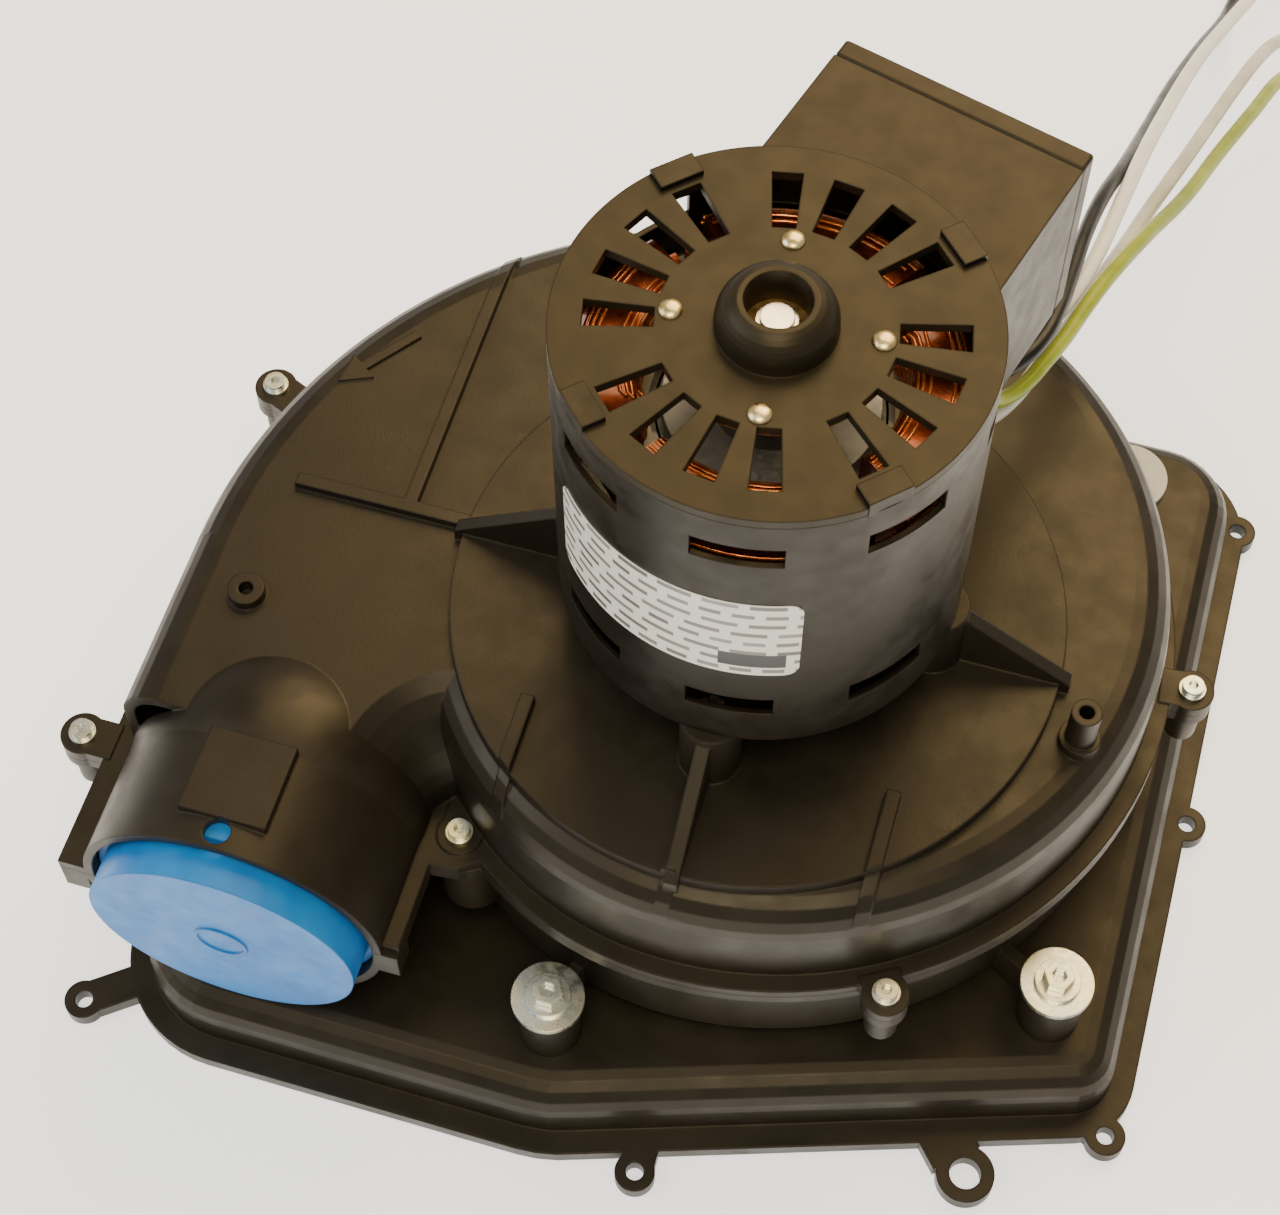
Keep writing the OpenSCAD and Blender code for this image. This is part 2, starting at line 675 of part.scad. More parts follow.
module coil(n) {
    color(lead_colours[n]) at_coil(n) {
        ring(coil_r + lead_r, coil_in - lead_r, lead_d);
        // Tail of the lead, curving into the middle
        translate([tail_r - coil_in, 0, lead_r]) rotate([0, 0, 180]) rotate_extrude(angle = 180)
            translate([tail_r, 0]) circle(r = lead_r, $fn = 16);
    }
}

module terminal(n) {
    mid = 2 * tail_r - coil_in;
    color([0.85, 0.83, 0.75]) at_coil(n) difference() {
        cuboid([mid - 3.3, 0, 0], [mid + 3.3, 13, 4]);
        cuboid([mid - 2.6, 6, 1.2], [mid + 2.6, 14, 2.8]);
    }
}

collector_box();
box_plug();
inlet_seal();
inlet_ring();
lower_housing();
upper_housing();
outlet_plug();
mount_grommets();
for (i = [1:3]) mount_washer(feet[i - 1]);
for (i = [1:3]) mount_screw(feet[i - 1]);
for (i = [1:7]) housing_screw(ears[i - 1]);
wheel();
wheel_hub();
shaft();
cooling_fan();
rotor_core();
rotor_rings();
stator_core();
for (i = [1:4]) winding(i);
slot_liners();
motor_shell();
end_cap();
end_cap_rivets();
lower_shield();
upper_bearing();
lower_bearing();
motor_screws();
motor_label();
capacitor_box();
box_lid();
capacitor();
lead_grommet();
for (i = [0:3]) lead(i);
for (i = [0:3]) coil(i);
for (i = [0:3]) terminal(i);
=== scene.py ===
"""Looks of a furnace combustion fan: its plastics, painted steel, copper, label and loose leads."""

import math
import random

import bmesh
import bpy
from bpy.props import FloatProperty, FloatVectorProperty, IntProperty, PointerProperty
from bpy.types import Operator, Panel, PropertyGroup
from mathutils import Matrix, Vector


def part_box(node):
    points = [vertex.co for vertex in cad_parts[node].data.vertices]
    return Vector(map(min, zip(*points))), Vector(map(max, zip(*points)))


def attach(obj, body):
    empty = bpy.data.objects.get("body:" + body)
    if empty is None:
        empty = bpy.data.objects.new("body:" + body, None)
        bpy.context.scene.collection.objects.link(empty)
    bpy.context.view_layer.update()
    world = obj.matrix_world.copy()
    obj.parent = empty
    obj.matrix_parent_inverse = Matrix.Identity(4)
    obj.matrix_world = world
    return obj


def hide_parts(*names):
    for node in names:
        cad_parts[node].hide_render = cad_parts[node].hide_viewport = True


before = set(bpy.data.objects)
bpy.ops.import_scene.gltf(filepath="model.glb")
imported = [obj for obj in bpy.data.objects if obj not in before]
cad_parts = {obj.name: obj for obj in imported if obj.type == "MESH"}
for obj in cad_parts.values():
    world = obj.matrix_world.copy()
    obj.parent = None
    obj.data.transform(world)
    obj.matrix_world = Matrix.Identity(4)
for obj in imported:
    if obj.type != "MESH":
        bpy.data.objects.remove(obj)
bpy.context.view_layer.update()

bl_info = {
    "name": "Combustion fan",
    "version": (1, 0, 0),
    "blender": (4, 5, 0),
    "location": "View3D > Sidebar > Combustion fan",
    "description": "Dresses a packed combustion fan and sets it on a pale stage",
    "category": "Object",
}

MM = 0.001

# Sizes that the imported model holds: outside of the motor's shell, and half a lead's thickness
SHELL_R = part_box("motor_shell")[1].x
LEAD_R = (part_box("coil_black")[1].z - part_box("coil_black")[0].z) / 2

# Rivets of the end cap: circle of their centres, turn of the first in degrees, radius of their shanks
RIVET_CIRCLE = 19.7 * MM
RIVET_TURN = 6
SHANK_R = 1.6 * MM

# Where the label starts round the shell, and how far round it goes
LABEL_START = math.radians(-143)
LABEL_SWEEP = math.radians(76.5)

# End turns of a winding: height, radius to the middle, and half the bundle's width and height
END_TURN = 14 * MM
BUNDLE_CIRCLE = 31.5 * MM
BUNDLE_HALF = (6.4 * MM, 6.9 * MM)

# Ejector pin marks on the cover: centre x and y, and radius, in millimetres
PIN_MARKS = ((-112, 4, 8), (-90.5, -37, 8), (65, 51, 8), (76, 9, 8))

# Centre line of each loose lead in millimetres, from the grommet over to the floor
ROUTES = {
    "black": [
        (33, 45.2, 128.4), (33, 45.2, 122), (34, 46.6, 118.3), (37.2, 49.8, 117.2),
        (41.2, 54.4, 116.8), (44.8, 61.5, 116.4), (46.8, 72, 115), (47.5, 84, 112),
        (48.2, 100, 108.2), (49.8, 115, 103.2), (52.4, 131, 95), (55.5, 158, 78.5), (59, 188, 62),
        (62.5, 214, 46), (65.5, 236, 31), (68, 254, 18), (70, 270, 8), (71.5, 286, 2.5),
        (72, 302, 1.8), (72, 318, 1.8),
    ],
    "white": [
        (31.8, 41.4, 128.4), (31.8, 41.4, 119), (32.5, 43.5, 114), (35, 49, 111), (39, 57, 110),
        (43, 65, 109.5), (47, 77, 108), (50.5, 90, 106), (54.5, 120, 100), (56, 134, 96),
        (59, 158, 86.5), (64.5, 198, 66), (68, 216, 56.5), (72.5, 239, 43.5), (77, 261, 30),
        (81, 278, 16), (84.5, 294, 6), (86.5, 310, 2.2), (88, 322, 1.8), (88, 335, 1.8),
    ],
    "grey": [
        (35.1, 39.6, 128.4), (35.1, 39.6, 117), (36, 41.5, 111), (38.5, 46, 107.5), (42, 53, 106),
        (45, 62, 105), (49, 75, 103), (52.5, 90, 100.2), (56.8, 108, 94.4), (60.6, 126, 88.4),
        (66, 150, 80), (70.5, 172, 71), (75, 195, 60.5), (79.5, 218, 48), (84, 238, 34),
        (89, 255, 19), (95, 271, 7.5), (103, 286, 2.3), (113.4, 298.6, 1.8),
    ],
    "green": [
        (36.8, 43, 128.4), (36.8, 43, 120.5), (38, 44.5, 115.5), (41, 49, 112), (44, 54.5, 110.5),
        (46.5, 61, 110), (49.5, 70, 108.5), (52, 80, 106.5), (54.9, 90, 105), (60.8, 110, 97.6),
        (68, 135, 84.8), (74, 162, 72), (80.5, 188, 60.5), (86, 211, 49), (92, 230, 31),
        (99, 241.5, 15), (108, 247.5, 5.5), (120, 250, 2), (135, 250, 1.8),
    ],
}
# Coil of each lead on the floor: centre x and y, turned by (degrees), and whether it winds clockwise
COILS = {
    "black": (48.5, 318, 0, False),
    "white": (111.5, 335, 0, True),
    "grey": (130, 282, -45, True),
    "green": (135, 226.5, -90, True),
}


def length_of(name, description, millimetres):
    """A setting that is a length."""
    return FloatProperty(name=name, description=description, unit="LENGTH", default=millimetres * MM)


# ---------------------------------------------------------------- settings


class StageSettings(PropertyGroup):
    """Floor, light and camera."""

    floor_colour: FloatVectorProperty(
        name="Floor", description="Colour of the floor", subtype="COLOR", size=3, default=(0.9, 0.9, 0.9)
    )
    world_strength: FloatProperty(
        name="Surround", description="Strength of the white surround", default=0.4
    )
    key_power: FloatProperty(
        name="Key light", description="Power of the large overhead light", default=16.0
    )
    camera_lens: FloatProperty(name="Lens", description="Focal length in millimetres", default=74.3)


class LeadSettings(PropertyGroup):
    """Sizes of the coils that the loose leads end in."""

    coil_radius: length_of("Coil radius", "Where a lead enters its coil", 23.5)
    coil_pitch: length_of("Coil pitch", "From one turn to the next", 3.8)
    coil_turns: FloatProperty(name="Coil turns", description="Turns in each coil", default=1.5)
    tail_radius: length_of("Tail radius", "Bend of the tail to the terminal", 8.5)


class MotorSettings(PropertyGroup):
    """Sizes of the motor's wire, rivets and label."""

    wire_radius: length_of("Wire radius", "Radius of the winding's wire", 0.45)
    strands: IntProperty(name="Strands", description="Wires round each bundle of the winding", default=34)
    rivet_radius: length_of("Rivet radius", "Radius of a rivet's domed head", 2.4)
    label_corner: length_of("Label corner", "Radius of the label's corners", 3)


# ---------------------------------------------------------------- materials


def linear(hex_colour):
    """An sRGB hex colour as linear red, green, blue and alpha."""
    parts = [int(hex_colour[i : i + 2], 16) / 255 for i in (1, 3, 5)]
    return [p / 12.92 if p <= 0.04045 else ((p + 0.055) / 1.055) ** 2.4 for p in parts] + [1.0]


def add(tree, kind, inputs=None, **settings):
    """Adds a node with its settings. An input is a value, or a socket to link from."""
    node = tree.nodes.new(kind)
    for name, value in settings.items():
        setattr(node, name, value)
    for name, value in (inputs or {}).items():
        if isinstance(value, bpy.types.NodeSocket):
            tree.links.new(value, node.inputs[name])
        else:
            node.inputs[name].default_value = value
    return node


def start(name, **shader):
    """A new material with its shader's fixed values: the material, its tree, shader and coordinates."""
    material = bpy.data.materials.new(name)
    material.use_nodes = True
    tree = material.node_tree
    bsdf = tree.nodes["Principled BSDF"]
    for socket, value in shader.items():
        bsdf.inputs[socket.replace("_", " ")].default_value = value
    place = add(tree, "ShaderNodeTexCoord").outputs["Object"]
    return material, tree, bsdf, place


def cloudy(place, lump_mm, detail=3.0):
    """Inputs of a noise whose lumps are about lump_mm across."""
    return {"Vector": place, "Scale": 1000 / lump_mm, "Detail": detail, "Roughness": 0.55}


def patches(tree, place, lump_mm, low=0.0, high=1.0, detail=3.0, lowest=0.35, highest=0.65):
    """A number that drifts from low to high and back in patches about lump_mm across."""
    lumps = add(tree, "ShaderNodeTexNoise", cloudy(place, lump_mm, detail)).outputs["Fac"]
    limits = {"Value": lumps, "From Min": lowest, "From Max": highest, "To Min": low, "To Max": high}
    return add(tree, "ShaderNodeMapRange", limits).outputs["Result"]


def coloured(tree, bsdf, share, first, second):
    """Gives the shader a colour between two, by a share."""
    mixed = add(tree, "ShaderNodeMix", {0: share, 6: first, 7: second}, data_type="RGBA")
    tree.links.new(mixed.outputs[2], bsdf.inputs["Base Color"])


def worn(tree, bsdf, roughness):
    """Gives the shader a roughness that changes over the surface."""
    tree.links.new(roughness, bsdf.inputs["Roughness"])


def skin(tree, bsdf, height, depth_mm, edge_mm=0.0):
    """Gives the shader a bump of about depth_mm over softly rounded edges."""
    inputs = {"Height": height, "Distance": depth_mm * MM, "Strength": 0.6}
    if edge_mm:
        inputs["Normal"] = add(tree, "ShaderNodeBevel", {"Radius": edge_mm * MM}, samples=4).outputs[0]
    tree.links.new(add(tree, "ShaderNodeBump", inputs).outputs[0], bsdf.inputs["Normal"])


def grain(tree, bsdf, place, lump_mm, depth_mm, edge_mm=0.0, detail=3.0):
    """Gives the shader a cloudy bump with lumps about lump_mm across."""
    height = add(tree, "ShaderNodeTexNoise", cloudy(place, lump_mm, detail)).outputs["Fac"]
    skin(tree, bsdf, height, depth_mm, edge_mm)


def pin_mark(tree, place, height, x, y, radius_mm):
    """Adds the shallow round outline that an ejector pin leaves to a height pattern."""
    flat = add(tree, "ShaderNodeVectorMath", {0: place, 1: (1, 1, 0)}, operation="MULTIPLY").outputs[0]
    away = {0: flat, 1: (x * MM, y * MM, 0)}
    distance = add(tree, "ShaderNodeVectorMath", away, operation="DISTANCE").outputs["Value"]
    compare = {0: distance, 1: radius_mm * MM, 2: 0.35 * MM}
    ring = add(tree, "ShaderNodeMath", compare, operation="COMPARE").outputs[0]
    deep = add(tree, "ShaderNodeMath", {0: ring, 1: -1.6, 2: height}, operation="MULTIPLY_ADD")
    return deep.outputs[0]


def moulded_polypropylene(name, marks=()):
    """Black polypropylene from a textured mould: warm, broad sheen, faint flow clouds, a fine grain."""
    material, tree, bsdf, place = start(
        name, Specular_Tint=linear("#fff3da"), IOR=1.5, Specular_IOR_Level=0.38
    )
    coloured(tree, bsdf, patches(tree, place, 45), linear("#17140f"), linear("#201b14"))
    worn(tree, bsdf, patches(tree, place, 9, 0.34, 0.46, 4))
    # Grain of 0.7 mm stands for a finer spark texture that would not show
    height = add(tree, "ShaderNodeTexNoise", cloudy(place, 0.7, 1)).outputs["Fac"]
    for x, y, radius in marks:
        height = pin_mark(tree, place, height, x, y, radius)
    skin(tree, bsdf, height, 0.03, edge_mm=0.7)
    return material


def baked_enamel(name, dark, light, roughness=(0.3, 0.42)):
    """Black-brown baked enamel on drawn steel: satin, with a faint orange peel and rubbed patches."""
    material, tree, bsdf, place = start(
        name, Specular_Tint=linear("#fff0d2"), IOR=1.52, Specular_IOR_Level=0.3
    )
    coloured(tree, bsdf, patches(tree, place, 30), linear(dark), linear(light))
    worn(tree, bsdf, patches(tree, place, 6, *roughness))
    # Orange peel of 1.4 mm
    grain(tree, bsdf, place, 1.4, 0.02, edge_mm=0.5, detail=1)
    return material


def blue_polyethylene():
    """Soft blue moulded polyethylene: a little light inside it, and rings from the turned mould."""
    material, tree, bsdf, place = start(
        "blue_polyethylene",
        IOR=1.51,
        Specular_IOR_Level=0.3,
        Subsurface_Weight=0.05,
        Subsurface_Scale=0.002,
    )
    coloured(tree, bsdf, patches(tree, place, 16), linear("#126dbb"), linear("#2180cb"))
    worn(tree, bsdf, patches(tree, place, 5, 0.32, 0.45))
    low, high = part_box("outlet_plug")
    middle = [-(low.x + high.x) / 2, 0, -(low.z + high.z) / 2]
    centred = add(tree, "ShaderNodeMapping", {"Vector": place, "Location": middle}).outputs[0]
    # Turned rings 1.6 mm apart
    wave = {"Vector": centred, "Scale": 1000 / 1.6 / 20, "Distortion": 0.4}
    rings = add(tree, "ShaderNodeTexWave", wave, wave_type="RINGS", rings_direction="Y").outputs["Fac"]
    skin(tree, bsdf, rings, 0.03, edge_mm=0.6)
    return material


def white_polyethylene():
    """Off-white moulded polyethylene, slightly cloudy."""
    material, tree, bsdf, place = start(
        "white_polyethylene", IOR=1.51, Subsurface_Weight=0.1, Subsurface_Scale=0.003
    )
    coloured(tree, bsdf, patches(tree, place, 7), linear("#c9c6bb"), linear("#dad8d0"))
    worn(tree, bsdf, patches(tree, place, 3, 0.4, 0.55))
    grain(tree, bsdf, place, 0.9, 0.03, edge_mm=0.4, detail=1)
    return material


def zinc_plate():
    """Bright zinc plating on pressed steel: yellow and blue tints, and fine handling scratches."""
    material, tree, bsdf, place = start("zinc_plate", Metallic=1.0)
    tint = patches(tree, place, 9, detail=1, lowest=0.2, highest=0.8)
    coloured(tree, bsdf, tint, linear("#e2dab0"), linear("#c9d4da"))
    worn(tree, bsdf, patches(tree, place, 1.6, 0.24, 0.34))
    stretched = add(tree, "ShaderNodeMapping", {"Vector": place, "Scale": (1, 6, 1)}).outputs[0]
    grain(tree, bsdf, stretched, 1.2, 0.006, edge_mm=0.3, detail=2)
    return material


def galvanised_sheet():
    """Hot-dip galvanised sheet: crystals of zinc a few millimetres across, each lighter or darker."""
    material, tree, bsdf, place = start("galvanised_sheet", Metallic=1.0)
    # Crystals of 7 mm
    cells = add(tree, "ShaderNodeTexVoronoi", {"Vector": place, "Scale": 1000 / 7}).outputs["Color"]
    shade = add(tree, "ShaderNodeSeparateColor", {"Color": cells}).outputs[0]
    coloured(tree, bsdf, shade, linear("#8b9092"), linear("#b4b8b7"))
    limits = {"Value": shade, "From Min": 0, "From Max": 1, "To Min": 0.35, "To Max": 0.5}
    worn(tree, bsdf, add(tree, "ShaderNodeMapRange", limits).outputs["Result"])
    grain(tree, bsdf, place, 1.5, 0.03, edge_mm=0.2)
    return material


def ground_steel():
    """Ground steel shaft: bright, with fine rings left by the wheel."""
    material, tree, bsdf, place = start("ground_steel", Metallic=1.0)
    squeezed = add(tree, "ShaderNodeMapping", {"Vector": place, "Scale": (0.1, 0.1, 1)}).outputs[0]
    lines = add(tree, "ShaderNodeTexNoise", cloudy(squeezed, 0.5, 1)).outputs["Fac"]
    coloured(tree, bsdf, lines, linear("#c9c7c2"), linear("#e4e2dc"))
    limits = {"Value": lines, "From Min": 0.35, "From Max": 0.65, "To Min": 0.12, "To Max": 0.28}
    worn(tree, bsdf, add(tree, "ShaderNodeMapRange", limits).outputs["Result"])
    skin(tree, bsdf, lines, 0.01, edge_mm=0.3)
    return material


def varnished_laminations():
    """Stack of thin steel laminations under clear varnish: dark edges, one on the other."""
    material, tree, bsdf, place = start("varnished_laminations", Metallic=0.8, Coat_Weight=0.4)
    # Sheets of 0.6 mm, drawn 1.2 mm apart so that they show
    wave = {"Vector": place, "Scale": 1000 / 1.2 / 20, "Distortion": 0.2}
    sheets = add(tree, "ShaderNodeTexWave", wave, bands_direction="Z").outputs["Fac"]
    coloured(tree, bsdf, sheets, linear("#4b4a47"), linear("#7d7c78"))
    worn(tree, bsdf, patches(tree, place, 4, 0.35, 0.5))
    skin(tree, bsdf, sheets, 0.06)
    return material


def cast_aluminium():
    """Die-cast aluminium: pale grey with a fine sandy skin."""
    material, tree, bsdf, place = start("cast_aluminium", Metallic=1.0)
    coloured(tree, bsdf, patches(tree, place, 4), linear("#a9abac"), linear("#c2c3c3"))
    worn(tree, bsdf, patches(tree, place, 1, 0.4, 0.55))
    grain(tree, bsdf, place, 0.7, 0.04, edge_mm=0.3, detail=2)
    return material


def enamelled_copper(name, dark, light):
    """Copper wire under clear orange enamel: each wire glints along its length."""
    material, tree, bsdf, place = start(name, Metallic=0.75, Coat_Weight=0.6, Coat_Roughness=0.12)
    coloured(tree, bsdf, patches(tree, place, 2.5), linear(dark), linear(light))
    worn(tree, bsdf, patches(tree, place, 4, 0.22, 0.36))
    grain(tree, bsdf, place, 0.8, 0.02, detail=1)
    return material


def polyester_film():
    """Stiff cream polyester slot paper, slightly stained by varnish."""
    material, tree, bsdf, place = start(
        "polyester_film", Subsurface_Weight=0.1, Subsurface_Scale=0.002
    )
    coloured(tree, bsdf, patches(tree, place, 8), linear("#c9bd98"), linear("#e4dcc2"))
    worn(tree, bsdf, patches(tree, place, 3, 0.35, 0.55))
    grain(tree, bsdf, place, 2, 0.04)
    return material


def yellow_metal(name, dark, light, roughness):
    """Warm yellow metal: satin brass on rivets, porous sintered bronze in bearings."""
    material, tree, bsdf, place = start(name, Metallic=1.0)
    coloured(tree, bsdf, patches(tree, place, 1.5), linear(dark), linear(light))
    worn(tree, bsdf, patches(tree, place, 0.8, *roughness))
    grain(tree, bsdf, place, 0.5, 0.015, detail=2)
    return material


def rubber(name):
    """Dull black moulded rubber with a dusty bloom."""
    material, tree, bsdf, place = start(name, IOR=1.52)
    coloured(tree, bsdf, patches(tree, place, 4), linear("#141311"), linear("#24221f"))
    worn(tree, bsdf, patches(tree, place, 2, 0.65, 0.85))
    grain(tree, bsdf, place, 0.6, 0.05, edge_mm=0.3, detail=2)
    return material


def glass_filled_nylon():
    """Black glass-filled nylon: matte, with short pale fibres near its skin."""
    material, tree, bsdf, place = start("glass_filled_nylon", IOR=1.53)
    fibres = patches(tree, place, 0.7, detail=1, lowest=0.6, highest=0.75)
    coloured(tree, bsdf, fibres, linear("#16140f"), linear("#3a362d"))
    worn(tree, bsdf, patches(tree, place, 3, 0.45, 0.6))
    grain(tree, bsdf, place, 0.6, 0.04, edge_mm=0.3, detail=2)
    return material


def soft_pvc(name, dark, light):
    """Extruded PVC insulation: satin, with slow waves in its thickness."""
    material, tree, bsdf, place = start(name, IOR=1.53, Specular_IOR_Level=0.3)
    coloured(tree, bsdf, patches(tree, place, 12), linear(dark), linear(light))
    worn(tree, bsdf, patches(tree, place, 5, 0.3, 0.42))
    grain(tree, bsdf, place, 3, 0.05, detail=1)
    return material


def clear_nylon():
    """Milky nylon sleeve of a crimped terminal."""
    material, tree, bsdf, place = start(
        "clear_nylon",
        IOR=1.53,
        Transmission_Weight=0.25,
        Subsurface_Weight=0.2,
        Subsurface_Scale=0.003,
    )
    coloured(tree, bsdf, patches(tree, place, 3), linear("#cfc6a8"), linear("#e2dcc6"))
    worn(tree, bsdf, patches(tree, place, 2, 0.25, 0.4))
    grain(tree, bsdf, place, 1, 0.02, edge_mm=0.5, detail=1)
    return material


def printed_film():
    """Glossy white label film, printed with a plain block and rows of short grey rules."""
    material, tree, bsdf, place = start("printed_film", IOR=1.5, Coat_Weight=0.3, Coat_Roughness=0.15)
    flat = add(tree, "ShaderNodeUVMap", uv_map="flat").outputs[0]
    # Rows of rules 3.4 mm apart, in pieces 9 mm long
    rules = {
        "Vector": flat,
        "Scale": 1.0,
        "Brick Width": 9.0,
        "Row Height": 3.4,
        "Mortar Size": 1.15,
        "Mortar Smooth": 0.2,
        "Bias": 0.0,
        "Color1": linear("#5f5c57"),
        "Color2": linear("#8b8882"),
        "Mortar": linear("#e2dfd8"),
    }
    rows = add(tree, "ShaderNodeTexBrick", rules, offset=0.37, squash=0.7, squash_frequency=3)
    # The block is 13 mm wide and 4.8 mm high
    axes = add(tree, "ShaderNodeSeparateXYZ", {"Vector": flat}).outputs
    across = add(tree, "ShaderNodeMath", {0: axes[0], 1: 47.0, 2: 6.5}, operation="COMPARE").outputs[0]
    up = add(tree, "ShaderNodeMath", {0: axes[1], 1: 5.5, 2: 2.4}, operation="COMPARE").outputs[0]
    block = add(tree, "ShaderNodeMath", {0: across, 1: up}, operation="MULTIPLY").outputs[0]
    coloured(tree, bsdf, block, rows.outputs["Color"], linear("#100f0e"))
    worn(tree, bsdf, patches(tree, place, 8, 0.3, 0.42))
    grain(tree, bsdf, place, 4, 0.02, detail=1)
    return material


def pale_floor(colour):
    """Matte pale board for the stage."""
    material, tree, bsdf, place = start("pale_floor", Roughness=0.8, Emission_Strength=1.1)
    darker = [c * 0.97 for c in colour] + [1]
    coloured(tree, bsdf, patches(tree, place, 120), list(colour) + [1], darker)
    return material


# ---------------------------------------------------------------- helpers for pieces


def dress(material, *nodes):
    """Gives CAD nodes a material."""
    for name in nodes:
        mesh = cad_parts[name].data
        mesh.materials.clear()
        mesh.materials.append(material)


def piece(name, data, material, body, stands_for=()):
    """Puts a finished mesh or curve into the scene, riding on a body."""
    made = bpy.data.objects.new(name, data)
    bpy.context.scene.collection.objects.link(made)
    made.data.materials.append(material)
    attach(made, body)
    if stands_for:
        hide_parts(*stands_for)
    return made


def mesh_from(name, bm, smooth=True):
    """Turns a bmesh into a mesh with even shading."""
    mesh = bpy.data.meshes.new(name)
    bm.to_mesh(mesh)
    bm.free()
    if smooth:
        mesh.shade_smooth()
    return mesh


def merged_copy(node):
    """A bmesh of a CAD node with its doubles merged and its flat faces whole."""
    bm = bmesh.new()
    bm.from_mesh(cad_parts[node].data)
    bmesh.ops.remove_doubles(bm, verts=bm.verts, dist=0.01 * MM)
    bmesh.ops.dissolve_limit(bm, angle_limit=math.radians(1), verts=bm.verts, edges=bm.edges)
    return bm


def soften(made, width):
    """Rounds a piece's sharp edges."""
    bevel = made.modifiers.new("rounded edges", "BEVEL")
    bevel.width = width
    bevel.segments = 3
    bevel.limit_method = "ANGLE"
    bevel.angle_limit = math.radians(35)
    bevel.harden_normals = True


def round_the_skin(share, half_width, half_height):
    """The point a given share of the way round a rectangle with round corners."""
    angle = 2 * math.pi * share
    squareness = 0.45
    cos, sin = math.cos(angle), math.sin(angle)
    return (
        math.copysign(abs(cos) ** squareness, cos) * half_width,
        math.copysign(abs(sin) ** squareness, sin) * half_height,
    )


# ---------------------------------------------------------------- pieces


class FAN_OT_stage(Operator):
    """Set the pale floor, the soft light and the camera"""

    bl_idname = "fan.stage"
    bl_label = "Stage"

    def execute(self, context):
        settings = context.scene.fan_stage
        bm = bmesh.new()
        bmesh.ops.create_grid(bm, x_segments=2, y_segments=2, size=3.0)
        floor = bpy.data.objects.new("floor", mesh_from("floor", bm, smooth=False))
        floor.data.materials.append(pale_floor(settings.floor_colour))
        context.scene.collection.objects.link(floor)
        self.camera(context, settings)
        self.lights(context, settings)
        return {"FINISHED"}

    def camera(self, context, settings):
        """Looks down on the fan from its front, a little from the right."""
        data = bpy.data.cameras.new("camera")
        data.lens = settings.camera_lens
        data.shift_x = -0.0136
        data.shift_y = -0.1054
        data.clip_start = 0.01
        camera = bpy.data.objects.new("camera", data)
        turn = Matrix.Rotation(math.radians(16.1), 4, "Z") @ Matrix.Rotation(math.radians(32.5), 4, "X")
        turn = turn @ Matrix.Rotation(math.radians(0.2), 4, "Z")
        camera.matrix_world = Matrix.Translation((57 * MM, -275.4 * MM, 577.4 * MM)) @ turn
        context.scene.collection.objects.link(camera)
        context.scene.camera = camera

    def lights(self, context, settings):
        """A large warm light overhead, a cooler fill from the left, and a white surround."""
        world = bpy.data.worlds.new("white surround")
        context.scene.world = world
        world.use_nodes = True
        surround = world.node_tree.nodes["Background"]
        surround.inputs["Color"].default_value = linear("#fffaf0")
        surround.inputs["Strength"].default_value = settings.world_strength
        for name, place, size, share, colour in (
            ("key", (0.1, 0.75, 0.95), 0.9, 1.0, "#ffdfa6"),
            ("fill", (-0.9, -0.3, 0.9), 0.8, 0.4, "#f4f6ff"),
            ("front", (0.1, -0.45, 1.1), 0.5, 0.5, "#ffeecb"),
        ):
            data = bpy.data.lights.new(name, "AREA")
            data.size = size
            data.energy = settings.key_power * share
            data.color = linear(colour)[:3]
            light = bpy.data.objects.new(name, data)
            light.location = place
            aim = Vector((0, 0, 0.1)) - Vector(place)
            light.rotation_euler = aim.to_track_quat("-Z", "Y").to_euler()
            context.scene.collection.objects.link(light)


